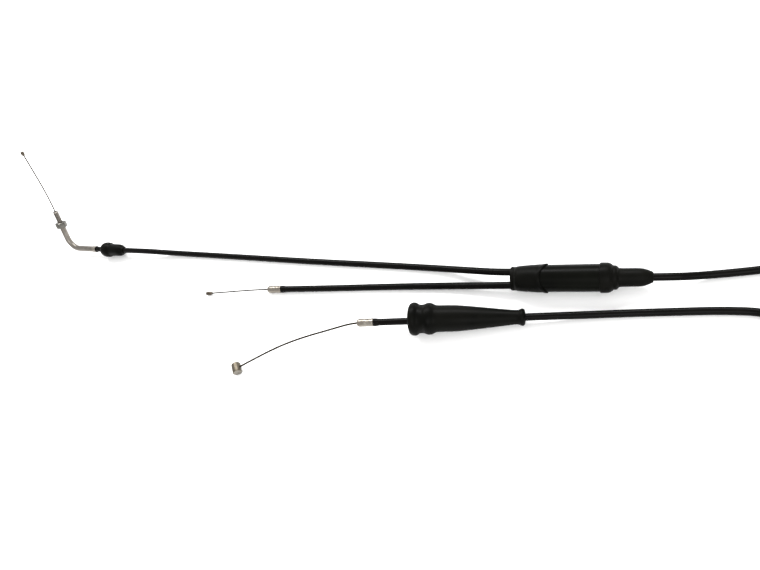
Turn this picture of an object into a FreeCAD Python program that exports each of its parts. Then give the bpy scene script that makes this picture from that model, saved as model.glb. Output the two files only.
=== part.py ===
import FreeCAD, Part
import math
import os

import Sketcher
from FreeCAD import Placement, Rotation, Vector

# A one-into-two throttle cable for a small two-stroke motorcycle.  The main cable from the
# twist grip ends in a splitter, where a slider pulls a carburettor cable and an oil pump cable.
#
# Millimetres, +Z up.  The origin is the centre of the splitter's body, on its axis.  +X runs
# along the splitter towards the main cable, and the cable lies on a surface at -floor_drop.

os.makedirs("parts", exist_ok=True)
doc = FreeCAD.newDocument("throttle_cable")
sheet = doc.addObject("Spreadsheet::Sheet", "Sizes")

SIZES = [
    # cable
    ("sheath_d", 5.0), ("wire_d", 1.5), ("branch_wire_d", 1.2), ("floor_drop", 9.85),
    # fits
    ("slip_gap", 0.08), ("seat_gap", 0.05), ("wire_gap", 0.2), ("lip_gap", 0.1),
    # splitter body and slider
    ("body_half", 16.5), ("branch_spacing", 8.8), ("slider_wall", 0.6), ("seat_wall", 1.0),
    ("body_step", 1.45), ("branch_overlap", 4.5), ("branch_seat_long", 9.0),
    ("main_seat_long", 5.5), ("slider_long", 13.0), ("slider_rest", 0.5), ("pocket_margin", 0.6),
    # plugs
    ("branch_spigot", 3.0), ("branch_flange", 6.0), ("socket_wall", 0.5), ("socket_deep", 4.5),
    ("main_spigot", 3.5), ("main_flange", 2.5), ("main_flange_step", 0.3),
    ("neck_wall", 0.95), ("neck_long", 13.0), ("main_socket_deep", 10.0),
    # rubber covers of the splitter
    ("branch_lip_wall", 0.85), ("branch_lip_over", 0.9), ("branch_waist_wall", 0.8),
    ("branch_end_wall", 1.15),
    ("branch_end_high", 11.0), ("branch_collar", 3.9), ("saddle_radius", 13.1), ("saddle_deep", 4.4),
    ("main_lip_wall", 0.85), ("main_lip_long", 4.8), ("main_shoulder_wall", 1.0),
    ("main_groove_wall", 0.6), ("main_ring_wall", 0.9), ("groove_set_back", 0.8),
    ("groove_long", 0.6), ("ring_long", 2.8), ("cone_long", 0.7),
    ("sleeve_wall", 1.8), ("sleeve_over", 2.8), ("tip_wall", 1.0), ("tip_long", 8.5),
    ("tip_shoulder_long", 4.7), ("tip_shoulder_wall", 0.9), ("tip_flat", 1.2),
    # nipples
    ("slider_nipple_d", 3.0), ("slider_nipple_long", 4.0),
    ("main_nipple_d", 4.0), ("main_nipple_long", 5.0),
    ("barrel_d", 7.0), ("barrel_long", 8.0), ("barrel_chamfer", 0.5), ("barrel_gap", 0.06),
    ("end_nipple_d", 3.2), ("pump_nipple_long", 6.0), ("carb_nipple_long", 4.2), ("nipple_cone", 1.4),
    ("nipple_collar", 0.3),
    # ferrules
    ("ferrule_wall", 0.45), ("ferrule_long", 11.8), ("ferrule_nose", 1.2), ("ferrule_seat", 9.0),
    # elbow at the carburettor end
    ("elbow_wall", 0.25), ("elbow_bore", 3.6), ("elbow_radius", 11.0),
    ("elbow_leg", 33.4), ("elbow_rise", 22.8), ("crimp_wall", 0.35), ("crimp_long", 4.4),
    ("crimp_edge_deep", 0.2), ("crimp_edge_long", 0.4), ("thread_chamfer", 0.5),
    ("thread_d", 4.9), ("thread_long", 17.0), ("thread_bore", 2.4), ("thread_tail", 6.0),
    ("nut_flats", 9.0), ("nut_thick", 5.0), ("nut_gap", 0.06), ("nut_seat", 0.35),
    ("undercut_wide", 1.2), ("undercut_deep", 0.4), ("undercut_gap", 0.15),
    # rubber dust cap at the carburettor end
    ("cap_long", 27.9), ("cap_back_wall", 0.7), ("cap_taper", 5.2), ("cap_wall", 2.0),
    ("cap_waist", 17.0), ("cap_head_wall", 3.5), ("cap_mouth_gap", 0.35),
    ("cap_mouth_deep", 13.9), ("carb_end_long", 56.6), ("cap_to_crimp", 9.5),
    ("cap_slope_long", 1.8), ("cap_slope_drop", 0.5), ("cap_round_long", 4.5),
    ("cap_nose_long", 1.5), ("cap_nose_drop", 1.2), ("cap_face_drop", 2.9),
    # rubber boot at the grip end
    ("boot_long", 75.0), ("boot_collar_wall", 3.1), ("boot_neck_wall", 2.1), ("boot_bore_d", 16.4),
    ("boot_wall", 0.9), ("boot_ring_wall", 2.6), ("boot_groove_wall", 1.65), ("boot_mouth_wall", 3.3),
    ("boot_collar_back", 1.9), ("boot_collar_drop", 0.9), ("boot_collar_half", 1.2),
    ("boot_neck_at", 3.0), ("boot_cone_end", 42.5), ("boot_swell", 0.2),
    # stations of the boot's rings, counted back from its mouth
    ("boot_body_end", 17.5), ("boot_ring_from", 16.0), ("boot_ring_to", 11.0),
    ("boot_groove_from", 9.8), ("boot_groove_to", 7.0), ("boot_bead_from", 5.6),
    ("boot_bead_drop", 0.3), ("boot_mouth_from", 4.0), ("boot_mouth_to", 1.4), ("boot_mouth_drop", 1.4),
    # inside of the boot, counted from its collar
    ("boot_hollow_from", 12.0), ("boot_hollow_step", 14.0), ("boot_hollow_room", 1.0),
    ("boot_hollow_full", 44.0), ("boot_hollow_taper", 0.3),
    ("grip_end_long", 115.7), ("grip_end_behind", 8.7),
    # put-away coil of the main cable
    ("coil_inner", 22.5), ("coil_middle", 27.5), ("coil_outer", 32.5),
]


class Size:
    """A length that knows its number and the spreadsheet expression that gives it."""

    def __init__(self, value, text):
        self.value = value
        self.text = text

    @staticmethod
    def of(other):
        return other if isinstance(other, Size) else Size(float(other), repr(float(other)))

    def __add__(self, other):
        other = Size.of(other)
        return Size(self.value + other.value, "(%s + %s)" % (self.text, other.text))

    def __sub__(self, other):
        other = Size.of(other)
        return Size(self.value - other.value, "(%s - %s)" % (self.text, other.text))

    def __mul__(self, other):
        other = Size.of(other)
        return Size(self.value * other.value, "(%s * %s)" % (self.text, other.text))

    def __truediv__(self, other):
        other = Size.of(other)
        return Size(self.value / other.value, "(%s / %s)" % (self.text, other.text))

    def __neg__(self):
        return Size(-self.value, "(-1 * %s)" % self.text)


class Sizes:
    """The spreadsheet's driving dimensions, by alias."""


S = Sizes()
for row, (alias, number) in enumerate(SIZES, start=1):
    sheet.set("A%d" % row, alias)
    sheet.set("B%d" % row, str(number))
    sheet.setAlias("B%d" % row, alias)
    setattr(S, alias, Size(number, "Sizes." + alias))
doc.recompute()

ALONG_X = Rotation(Vector(0, 1, 0), 90)
# How far a cutter runs past the face that it opens.
BEYOND = 1.0
subparts = []


# ---------------------------------------------------------------------------
# Ways of making a sub-part
# ---------------------------------------------------------------------------


def finish(obj, label, place=None):
    """Names a finished sub-part, puts it in its place and keeps it for export."""
    obj.Label = label
    if place is not None:
        obj.Placement = place
    subparts.append(obj)
    return obj


def plane(body, role):
    return next(f for f in body.Origin.OriginFeatures if f.Role == role)


def new_sketch(body, name, role):
    sketch = body.newObject("Sketcher::SketchObject", name)
    sketch.AttachmentSupport = [(plane(body, role), "")]
    sketch.MapMode = "FlatFace"
    return sketch


def pin_vertex(sketch, line, x, y):
    """Ties the start of a line to the origin by two lengths from the spreadsheet."""
    for size, kind, axis in ((x, "DistanceX", -2), (y, "DistanceY", -1)):
        if abs(size.value) < 1e-9:
            sketch.addConstraint(Sketcher.Constraint("PointOnObject", line, 1, axis))
        else:
            index = sketch.addConstraint(Sketcher.Constraint(kind, -1, 1, line, 1, size.value))
            sketch.setExpression("Constraints[%d]" % index, size.text)


def turned_body(name, profile):
    """A PartDesign body turned about X from a closed profile of (x, radius) sizes."""
    body = doc.addObject("PartDesign::Body", name)
    sketch = new_sketch(body, name + "_profile", "XY_Plane")
    corners = [(Size.of(x), Size.of(r)) for x, r in profile]
    ends = corners[1:] + corners[:1]
    for (x0, r0), (x1, r1) in zip(corners, ends):
        start = Vector(x0.value, r0.value, 0)
        sketch.addGeometry(Part.LineSegment(start, Vector(x1.value, r1.value, 0)))
    count = len(corners)
    for line in range(count):
        sketch.addConstraint(Sketcher.Constraint("Coincident", line, 2, (line + 1) % count, 1))
    for line, (x, r) in enumerate(corners):
        pin_vertex(sketch, line, x, r)
    turn = body.newObject("PartDesign::Revolution", name + "_turn")
    turn.Profile = sketch
    turn.ReferenceAxis = (sketch, ["H_Axis"])
    turn.Angle = 360
    body.Tip = turn
    return body


def rod(name, radius, start, end, y=0.0, z=0.0):
    """A Part cylinder along X from start to end, at a sideways place y and a height z."""
    start, end, y, z = Size.of(start), Size.of(end), Size.of(y), Size.of(z)
    cylinder = doc.addObject("Part::Cylinder", name)
    cylinder.setExpression("Radius", Size.of(radius).text)
    cylinder.setExpression("Height", (end - start).text)
    cylinder.Placement = Placement(Vector(start.value, y.value, z.value), ALONG_X)
    cylinder.setExpression("Placement.Base.x", start.text)
    cylinder.setExpression("Placement.Base.y", y.text)
    cylinder.setExpression("Placement.Base.z", z.text)
    return cylinder


def cut(name, base, tools):
    """Cuts all the tools from the base."""
    tool = tools[0]
    if len(tools) > 1:
        tool = doc.addObject("Part::MultiFuse", name + "_cutters")
        tool.Shapes = tools
    result = doc.addObject("Part::Cut", name)
    result.Base = base
    result.Tool = tool
    return result


def facing(point, direction):
    """The placement whose X axis starts at the point and runs in the direction."""
    return Placement(Vector(*point), Rotation(Vector(1, 0, 0), Vector(*direction)))


def rounded_route(label, points):
    """Straight runs joined by tangent arcs, each as large as its two runs allow."""
    points = [Vector(*p) for p in points]
    edges, radii, at = [], [], points[0]
    for before, corner, after in zip(points, points[1:], points[2:]):
        back, ahead = before - corner, after - corner
        reach = 0.45 * min(back.Length, ahead.Length)
        turn = math.pi - back.getAngle(ahead)
        radii.append(reach / math.tan(turn / 2))
        back.normalize()
        ahead.normalize()
        start, end = corner + back * reach, corner + ahead * reach
        inwards = back + ahead
        inwards.normalize()
        sagitta = radii[-1] / math.cos(turn / 2) - radii[-1]
        edges.append(Part.LineSegment(at, start).toShape())
        edges.append(Part.Arc(start, corner + inwards * sagitta, end).toShape())
        at = end
    edges.append(Part.LineSegment(at, points[-1]).toShape())
    wire = Part.Wire(edges)
    print("%-22s length %7.1f mm, smallest bend %6.1f mm" % (label, wire.Length, min(radii)))
    return wire


def tube(label, points, diameter):
    """A round cord of one diameter along a route."""
    wire = rounded_route(label, points)
    first = wire.Edges[0]
    section = Part.Circle(first.valueAt(first.FirstParameter), first.tangentAt(0), diameter / 2)
    shape = wire.makePipeShell([Part.Wire([section.toShape()])], True, False)
    expected = math.pi * diameter**2 / 4 * wire.Length
    if abs(shape.Volume / expected - 1) > 0.01:
        raise RuntimeError("%s: volume %.1f, expected %.1f" % (label, shape.Volume, expected))
    cord = doc.addObject("Part::Feature", label)
    cord.Shape = shape
    return finish(cord, label)


# ---------------------------------------------------------------------------
# Places: where each end of the cable lies, and which way it points
# ---------------------------------------------------------------------------

# The boot's small collar is on the grip end's sheath.  Sheath and boot each have a slight tilt.
GRIP_COLLAR = (-30.7, -26.8, -4.0)
GRIP_DIRECTION = (-0.9963, -0.0761, 0.0389)
BOOT_DIRECTION = (-0.9934, -0.0787, 0.0835)
# The back of the oil pump ferrule.
PUMP_FERRULE = (-224.7, -3.25, -6.85)
PUMP_DIRECTION = (-0.9998, -0.0150, 0.0)
# The corner where the elbow's two legs would meet, the way its first leg runs, and its rise.
ELBOW_CORNER = (-481.7, 42.9, -2.65)
ELBOW_HEADING = 175.86
ELBOW_ELEVATION = 61.0
# The centre of the put-away coil.
COIL_CENTRE = (152.0, -14.0)
# How far the splitter lies rolled about its own axis, which lifts the carburettor branch.
SPLITTER_ROLL = 30.0

splitter_place = Placement(Vector(), Rotation(Vector(1, 0, 0), SPLITTER_ROLL))
grip_place = facing(GRIP_COLLAR, GRIP_DIRECTION)
boot_place = facing(GRIP_COLLAR, BOOT_DIRECTION)
pump_place = facing(PUMP_FERRULE, PUMP_DIRECTION)

heading = math.radians(ELBOW_HEADING)
elevation = math.radians(ELBOW_ELEVATION)
leg_way = Vector(math.cos(heading), math.sin(heading), 0)
side_way = Vector(math.sin(heading), -math.cos(heading), 0)
rise_way = side_way * math.cos(elevation) + Vector(0, 0, math.sin(elevation))
elbow_place = Placement(Vector(*ELBOW_CORNER), Rotation(leg_way, rise_way, Vector(), "XYZ"))
leg_place = facing(ELBOW_CORNER, leg_way)
rise_place = facing(ELBOW_CORNER, rise_way)

# ---------------------------------------------------------------------------
# Routes of the cords, in millimetres
# ---------------------------------------------------------------------------

CARB_SHEATH_ROUTE = [
    (-31.5, 3.81, 2.2), (-46.5, 3.81, 2.2), (-66.0, 8.3, -2.6), (-98.0, 14.1, -7.35),
    (-150.0, 18.4, -7.35), (-200.0, 22.3, -7.35), (-262.0, 27.8, -7.35), (-315.0, 32.5, -7.35),
    (-350.0, 34.9, -6.4), (-376.0, 35.25, -2.65), (-391.93, 36.4, -2.65),
]
PUMP_SHEATH_ROUTE = [
    (-31.5, -3.81, -2.2), (-46.0, -3.81, -2.2), (-62.0, -2.4, -4.9), (-90.0, -0.9, -7.35),
    (-132.0, -1.4, -7.35), (-180.0, -2.4, -7.35), (-211.0, -3.05, -6.85), (-233.69, -3.39, -6.85),
]
MAIN_RUN_OUT_ROUTE = [
    (28.0, 0.0, 0.0), (56.0, 0.0, 0.0), (71.0, 3.4, -4.9), (90.0, 6.7, -7.35),
    (112.0, 9.4, -7.35), (133.0, 14.6, -7.35),
]
MAIN_RUN_BACK_ROUTE = [
    (138.2, -37.8, -2.5), (122.0, -28.0, -4.6), (106.0, -19.6, -7.35), (84.0, -18.9, -7.35),
    (60.0, -19.95, -7.35),
    (38.0, -21.05, -7.35), (10.0, -23.4, -6.1), (-12.0, -25.37, -4.73), (-22.03, -26.14, -4.34),
]
GRIP_WIRE_ROUTE = [
    (-143.2, -35.39, 0.39), (-150.0, -35.91, 0.66), (-168.0, -40.6, -1.5), (-189.0, -46.1, -3.5),
    (-207.0, -52.8, -4.8), (-224.0, -61.7, -5.8), (-241.5, -72.6, -6.3),
]
PUMP_WIRE_ROUTE = [
    (-233.71, -3.39, -6.85), (-244.5, -3.55, -6.85), (-262.0, -4.4, -7.15),
    (-278.0, -5.2, -7.8), (-292.3, -6.05, -8.05),
]
CARB_WIRE_ROUTE = [
    (-480.52, 59.24, 26.91), (-479.93, 67.38, 41.63), (-479.8, 74.2, 55.4),
    (-480.1, 80.7, 69.4), (-480.5, 87.2, 83.5),
]

# ---------------------------------------------------------------------------
# Splitter: stations along its axis
# ---------------------------------------------------------------------------

cavity_d = S.branch_spacing + S.slider_nipple_d + S.slider_wall * 2
seat_d = cavity_d + S.seat_wall * 2
body_d = seat_d + S.body_step * 2
step_left = -(S.body_half + S.branch_overlap)
body_left = step_left - S.branch_seat_long
body_right = S.body_half + S.main_seat_long
cavity_left = body_left + S.branch_spigot
cavity_right = body_right - S.main_spigot
slider_left = cavity_left + S.slider_rest
slider_right = slider_left + S.slider_long
flange_left = body_left - S.branch_flange
flange_right = body_right + S.main_flange
neck_right = flange_right + S.neck_long
ferrule_d = S.sheath_d + (S.seat_gap + S.ferrule_wall) * 2
neck_d = ferrule_d + (S.seat_gap + S.neck_wall) * 2
main_sheath_start = neck_right - S.main_socket_deep + S.ferrule_wall
branch_cover_left = flange_left - S.branch_collar
sleeve_right = neck_right + S.sleeve_over
wire_hole = S.wire_d / 2 + S.wire_gap
branch_wire_hole = S.branch_wire_d / 2 + S.wire_gap
branch_y = S.branch_spacing / 2
sheath_hole = S.sheath_d / 2 + S.seat_gap
branch_flange_d = S.branch_spacing + (sheath_hole + S.socket_wall) * 2
main_flange_d = cavity_d + S.main_flange_step * 2


def splitter_body():
    seat, outer, bore = seat_d / 2, body_d / 2, cavity_d / 2
    finish(turned_body("splitter_body", [
        (body_left, bore), (body_left, seat), (step_left, seat), (step_left, outer),
        (S.body_half, outer), (S.body_half, seat), (body_right, seat), (body_right, bore),
    ]), "splitter_body")


def splitter_branch_plug():
    spigot = cavity_d / 2 - S.seat_gap
    flange = branch_flange_d / 2
    blank = turned_body("branch_plug_blank", [
        (flange_left, 0), (flange_left, flange), (body_left, flange), (body_left, spigot),
        (cavity_left, spigot), (cavity_left, 0),
    ])
    drills = []
    for name, y in (("carb", branch_y), ("pump", -branch_y)):
        drills.append(rod(name + "_socket", sheath_hole, flange_left - BEYOND,
                          flange_left + S.socket_deep, y))
        drills.append(rod(name + "_plug_hole", branch_wire_hole, flange_left,
                          cavity_left + BEYOND, y))
    finish(cut("splitter_branch_plug", blank, drills), "splitter_branch_plug", splitter_place)


def splitter_main_plug():
    spigot = cavity_d / 2 - S.seat_gap
    flange, neck = main_flange_d / 2, neck_d / 2
    socket = ferrule_d / 2 + S.seat_gap
    bottom = neck_right - S.main_socket_deep
    finish(turned_body("splitter_main_plug", [
        (cavity_right, wire_hole), (cavity_right, spigot), (body_right, spigot),
        (body_right, flange), (flange_right, flange), (flange_right, neck), (neck_right, neck),
        (neck_right, socket), (bottom, socket), (bottom, wire_hole),
    ]), "splitter_main_plug")


def main_sheath_ferrule():
    outer, seat = ferrule_d / 2, sheath_hole
    bottom = neck_right - S.main_socket_deep
    finish(turned_body("main_sheath_ferrule", [
        (bottom, wire_hole), (bottom, outer), (neck_right, outer), (neck_right, seat),
        (main_sheath_start, seat), (main_sheath_start, wire_hole),
    ]), "main_sheath_ferrule")


def ellipse_wire(name, x, wide, high):
    """An upright elliptical wire across the splitter's axis, wide along Y and high along Z."""
    ring = doc.addObject("Part::Ellipse", name)
    ring.setExpression("MajorRadius", (wide / 2).text)
    ring.setExpression("MinorRadius", (high / 2).text)
    ring.Placement = Placement(Vector(x.value, 0, 0), Rotation(Vector(0, 1, 0), Vector(0, 0, 1),
                                                                Vector(1, 0, 0), "XYZ"))
    ring.setExpression("Placement.Base.x", x.text)
    return ring


def splitter_branch_cover():
    end_x, collar_x, lip_x = branch_cover_left, flange_left, S.branch_lip_over - S.body_half
    end_wide = S.branch_spacing + S.sheath_d + S.branch_end_wall * 2
    waist = branch_flange_d + S.branch_waist_wall * 2
    lip = body_d / 2 + S.branch_lip_wall
    collar = doc.addObject("Part::Loft", "branch_cover_collar")
    collar.Sections = [
        ellipse_wire("branch_cover_end", end_x, end_wide, S.branch_end_high),
        ellipse_wire("branch_cover_root", collar_x, waist, waist),
    ]
    collar.Solid = True
    collar.Ruled = True
    skirt = turned_body("branch_cover_skirt", [
        (collar_x, 0), (collar_x, waist / 2), (lip_x, lip), (lip_x, 0),
    ])
    whole = doc.addObject("Part::MultiFuse", "branch_cover_whole")
    whole.Shapes = [collar, skirt]
    inside = [
        rod("branch_cover_lip", body_d / 2 + S.seat_gap, step_left, lip_x + BEYOND),
        rod("branch_cover_seat", seat_d / 2 + S.seat_gap, body_left, step_left + BEYOND),
        rod("branch_cover_flange", branch_flange_d / 2 + S.seat_gap, flange_left, body_left + BEYOND),
        rod("carb_cover_hole", sheath_hole, end_x - BEYOND, flange_left + BEYOND, branch_y),
        rod("pump_cover_hole", sheath_hole, end_x - BEYOND, flange_left + BEYOND, -branch_y),
        saddle_cutter(lip_x, lip),
    ]
    finish(cut("splitter_branch_cover", whole, inside), "splitter_branch_cover", splitter_place)


def saddle_cutter(lip_x, lip):
    """An upright cylinder that scoops the cover's edge, so that two ears stand out sideways."""
    cutter = doc.addObject("Part::Cylinder", "branch_cover_saddle")
    cutter.setExpression("Radius", S.saddle_radius.text)
    cutter.setExpression("Height", (lip * 4).text)
    cutter.Placement = Placement(Vector(lip_x.value, 0, 0), Rotation())
    cutter.setExpression("Placement.Base.x", (lip_x - S.saddle_deep + S.saddle_radius).text)
    cutter.setExpression("Placement.Base.z", (lip * -2).text)
    return cutter


def splitter_main_cover():
    lip = body_d / 2 + S.main_lip_wall
    shoulder = main_flange_d / 2 + S.main_shoulder_wall
    groove = main_flange_d / 2 + S.main_groove_wall
    ring = main_flange_d / 2 + S.main_ring_wall
    sleeve = neck_d / 2 + S.sleeve_wall
    tip = S.sheath_d / 2 + S.tip_wall
    left = S.body_half
    lip_end = left + S.main_lip_long
    groove_start = flange_right - S.groove_set_back
    ring_start = groove_start + S.groove_long
    ring_end = ring_start + S.ring_long
    cone_end = ring_end + S.cone_long
    seat, flange = seat_d / 2 + S.seat_gap, main_flange_d / 2 + S.seat_gap
    neck = neck_d / 2 + S.seat_gap
    tip_end = sleeve_right + S.tip_long - S.tip_flat
    finish(turned_body("splitter_main_cover", [
        (left, seat), (left, lip), (lip_end, lip), (groove_start, shoulder),
        (groove_start, groove), (ring_start, groove),
        (ring_start, ring), (ring_end, ring), (cone_end, sleeve), (sleeve_right, sleeve),
        (sleeve_right + S.tip_shoulder_long, tip + S.tip_shoulder_wall), (tip_end, tip),
        (tip_end, sheath_hole),
        (neck_right, sheath_hole), (neck_right, neck), (flange_right, neck),
        (flange_right, flange), (body_right, flange), (body_right, seat),
    ]), "splitter_main_cover")


def splitter_slider():
    blank = turned_body("slider_blank", [
        (slider_left, 0), (slider_left, cavity_d / 2 - S.slip_gap),
        (slider_right, cavity_d / 2 - S.slip_gap), (slider_right, 0),
    ])
    main_pocket = S.main_nipple_d / 2 + S.seat_gap
    side_pocket = S.slider_nipple_d / 2 + S.seat_gap
    drills = [
        rod("slider_main_hole", wire_hole, slider_left, slider_right + BEYOND),
        rod("slider_main_pocket", main_pocket, slider_left - BEYOND,
            slider_left + S.main_nipple_long),
    ]
    for name, y in (("carb", branch_y), ("pump", -branch_y)):
        pocket_start = slider_right - S.slider_nipple_long - S.pocket_margin
        drills.append(rod(name + "_slider_hole", branch_wire_hole, slider_left - BEYOND,
                          slider_right, y))
        drills.append(rod(name + "_slider_pocket", side_pocket, pocket_start,
                          slider_right + BEYOND, y))
    finish(cut("splitter_slider", blank, drills), "splitter_slider", splitter_place)


def slider_nipples_and_wires():
    """Nipples seated in the slider, and the three wires that run inside the splitter."""
    start = slider_left
    finish(rod("main_slider_nipple", S.main_nipple_d / 2, start, start + S.main_nipple_long),
           "main_slider_nipple")
    finish(rod("main_wire_in_splitter", S.wire_d / 2, start + S.main_nipple_long, main_sheath_start),
           "main_wire_in_splitter")
    pocket = slider_right - S.slider_nipple_long - S.pocket_margin
    socket = flange_left + S.socket_deep
    roll = math.radians(SPLITTER_ROLL)
    for name, offset in (("carb", branch_y), ("pump", -branch_y)):
        y, z = offset * math.cos(roll), offset * math.sin(roll)
        nipple = name + "_slider_nipple"
        wire = name + "_wire_in_splitter"
        end = pocket + S.slider_nipple_long
        finish(rod(nipple, S.slider_nipple_d / 2, pocket, end, y, z), nipple)
        finish(rod(wire, S.branch_wire_d / 2, socket, pocket, y, z), wire)


# ---------------------------------------------------------------------------
# Grip end
# ---------------------------------------------------------------------------


def grip_end():
    sheath_start, sheath_end = -S.grip_end_behind, S.grip_end_long - S.ferrule_long + S.ferrule_seat
    sheath = turned_body("grip_sheath_end", [
        (sheath_start, 0), (sheath_start, S.sheath_d / 2), (sheath_end, S.sheath_d / 2),
        (sheath_end, 0),
    ])
    finish(sheath, "grip_sheath_end", grip_place)
    ferrule("grip_ferrule", S.wire_d / 2 + S.wire_gap,
            facing(grip_place.multVec(Vector(S.grip_end_long.value - S.ferrule_long.value, 0, 0)),
                   GRIP_DIRECTION))


def ferrule(label, hole, place):
    """A crimped end ferrule: the sheath goes in at x = 0 and the wire leaves at its nose."""
    outer, long = ferrule_d / 2, S.ferrule_long
    finish(turned_body(label, [
        (0, sheath_hole), (0, outer), (long - S.ferrule_nose, outer), (long, outer - S.ferrule_nose),
        (long, hole), (S.ferrule_seat, hole), (S.ferrule_seat, sheath_hole),
    ]), label, place)


def grip_boot():
    """The boot: a collar tight on the sheath, and a long thin shell that hangs over it."""
    bore = S.sheath_d / 2 + S.lip_gap
    collar, neck = bore + S.boot_collar_wall, bore + S.boot_neck_wall
    inside = S.boot_bore_d / 2
    shoulder, ring = inside + S.boot_wall, inside + S.boot_ring_wall
    groove, mouth = inside + S.boot_groove_wall, inside + S.boot_mouth_wall
    end = S.boot_long
    shell = turned_body("grip_boot_shell", [
        (-S.boot_collar_back, bore), (-S.boot_collar_back, collar - S.boot_collar_drop),
        (-S.boot_collar_half, collar), (S.boot_collar_half, collar), (S.boot_neck_at, neck),
        (S.boot_cone_end, shoulder - S.boot_swell), (end - S.boot_body_end, shoulder),
        (end - S.boot_ring_from, ring), (end - S.boot_ring_to, ring),
        (end - S.boot_groove_from, groove), (end - S.boot_groove_to, groove),
        (end - S.boot_bead_from, mouth - S.boot_bead_drop), (end - S.boot_mouth_from, mouth),
        (end - S.boot_mouth_to, mouth), (end, mouth - S.boot_mouth_drop), (end, inside),
        (S.boot_hollow_full, inside - S.boot_hollow_taper),
        (S.boot_hollow_step, bore + S.boot_hollow_room), (S.boot_hollow_from, bore),
    ])
    # The sheath's hole lies along the sheath, which hangs a little lower than the boot's axis.
    hole = doc.addObject("Part::Cylinder", "grip_boot_hole")
    hole.setExpression("Radius", bore.text)
    hole.setExpression("Height", (S.boot_collar_back + S.boot_hollow_step * 2).text)
    start = Placement(Vector(-(S.boot_collar_back + S.boot_collar_half).value - BEYOND, 0, 0), ALONG_X)
    hole.Placement = boot_place.inverse().multiply(grip_place).multiply(start)
    finish(cut("grip_boot", shell, [hole]), "grip_boot", boot_place)


def grip_nipple():
    radius, half, edge = S.barrel_d / 2, S.barrel_long / 2, S.barrel_chamfer
    centre = Vector(*GRIP_WIRE_ROUTE[-1])
    wire_way = centre - Vector(*GRIP_WIRE_ROUTE[-2])
    across = wire_way.cross(Vector(0, 0, 1))
    blank = turned_body("barrel_blank", [
        (-half, 0), (-half, radius - edge), (-(half - edge), radius), (half - edge, radius),
        (half, radius - edge), (half, 0),
    ])
    place = facing(centre, across.normalize())
    hole = doc.addObject("Part::Cylinder", "barrel_wire_hole")
    hole.setExpression("Radius", (S.wire_d / 2 + S.barrel_gap).text)
    hole.setExpression("Height", S.barrel_d.text)
    back_way = place.inverse().Rotation.multVec(-wire_way)
    hole.Placement = Placement(Vector(), Rotation(Vector(0, 0, 1), back_way))
    finish(cut("grip_barrel_nipple", blank, [hole]), "grip_barrel_nipple", place)


# ---------------------------------------------------------------------------
# Oil pump end and carburettor end
# ---------------------------------------------------------------------------


def end_nipple(label, long, point, direction):
    """A small cylinder with a cone on the side where the wire comes in."""
    radius, neck = S.end_nipple_d / 2, S.branch_wire_d / 2 + S.nipple_collar
    finish(turned_body(label, [
        (0, 0), (0, neck), (S.nipple_cone, radius), (long, radius), (long, 0),
    ]), label, facing(point, direction))


def elbow_run(name, radius):
    """The elbow's two straight legs and its bend, for one radius, as one solid."""
    leg_a = doc.addObject("Part::Cylinder", name + "_leg")
    leg_a.setExpression("Radius", radius.text)
    leg_a.setExpression("Height", (S.elbow_leg - S.elbow_radius).text)
    leg_a.Placement = Placement(Vector(-S.elbow_leg.value, 0, 0), ALONG_X)
    leg_a.setExpression("Placement.Base.x", (-S.elbow_leg).text)
    bend = doc.addObject("Part::Torus", name + "_bend")
    bend.setExpression("Radius1", S.elbow_radius.text)
    bend.setExpression("Radius2", radius.text)
    bend.Angle3 = 90
    turn = Rotation(Vector(0, 0, 1), -90)
    bend.Placement = Placement(Vector(-S.elbow_radius.value, S.elbow_radius.value, 0), turn)
    bend.setExpression("Placement.Base.x", (-S.elbow_radius).text)
    bend.setExpression("Placement.Base.y", S.elbow_radius.text)
    leg_b = doc.addObject("Part::Cylinder", name + "_rise")
    leg_b.setExpression("Radius", radius.text)
    leg_b.setExpression("Height", (S.elbow_rise - S.elbow_radius).text)
    leg_b.Placement = Placement(Vector(0, S.elbow_radius.value, 0), Rotation(Vector(1, 0, 0), -90))
    leg_b.setExpression("Placement.Base.y", S.elbow_radius.text)
    run = doc.addObject("Part::MultiFuse", name)
    run.Shapes = [leg_a, bend, leg_b]
    return run


def carb_elbow():
    elbow_d = S.sheath_d + S.elbow_wall * 2
    tube_run = elbow_run("elbow_outside", elbow_d / 2)
    bore_run = elbow_run("elbow_inside", S.elbow_bore / 2)
    finish(cut("carb_elbow_tube", tube_run, [bore_run]), "carb_elbow_tube", elbow_place)

    half, bore = S.crimp_long / 2, elbow_d / 2 + S.seat_gap
    outer = elbow_d / 2 + S.crimp_wall
    back, front = -(S.elbow_leg + half), half - S.elbow_leg
    finish(turned_body("carb_crimp_sleeve", [
        (back, bore), (back, outer - S.crimp_edge_deep), (back + S.crimp_edge_long, outer),
        (front - S.crimp_edge_long, outer), (front, outer - S.crimp_edge_deep), (front, bore),
    ]), "carb_crimp_sleeve", leg_place)

    end = -S.elbow_leg
    start = end - S.carb_end_long
    finish(turned_body("carb_sheath_end", [
        (start, 0), (start, S.sheath_d / 2), (end, S.sheath_d / 2), (end, 0),
    ]), "carb_sheath_end", leg_place)


def carb_threaded_end():
    """The threaded end: an undercut parts its free thread from the stretch under the nut."""
    start, radius, bore = S.elbow_rise, S.thread_d / 2, S.thread_bore / 2
    tail, spigot = S.thread_tail, S.elbow_bore / 2 - S.seat_gap
    undercut = start + S.nut_seat + S.nut_thick + S.undercut_gap
    free_thread = undercut + S.undercut_wide
    root = radius - S.undercut_deep
    end, chamfer = start + S.thread_long, S.thread_chamfer
    finish(turned_body("carb_threaded_end", [
        (start - tail, bore), (start - tail, spigot), (start, spigot), (start, radius),
        (undercut, radius), (undercut, root), (free_thread, root), (free_thread, radius),
        (end - chamfer, radius), (end, radius - chamfer), (end, bore),
    ]), "carb_threaded_end", rise_place)


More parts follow.
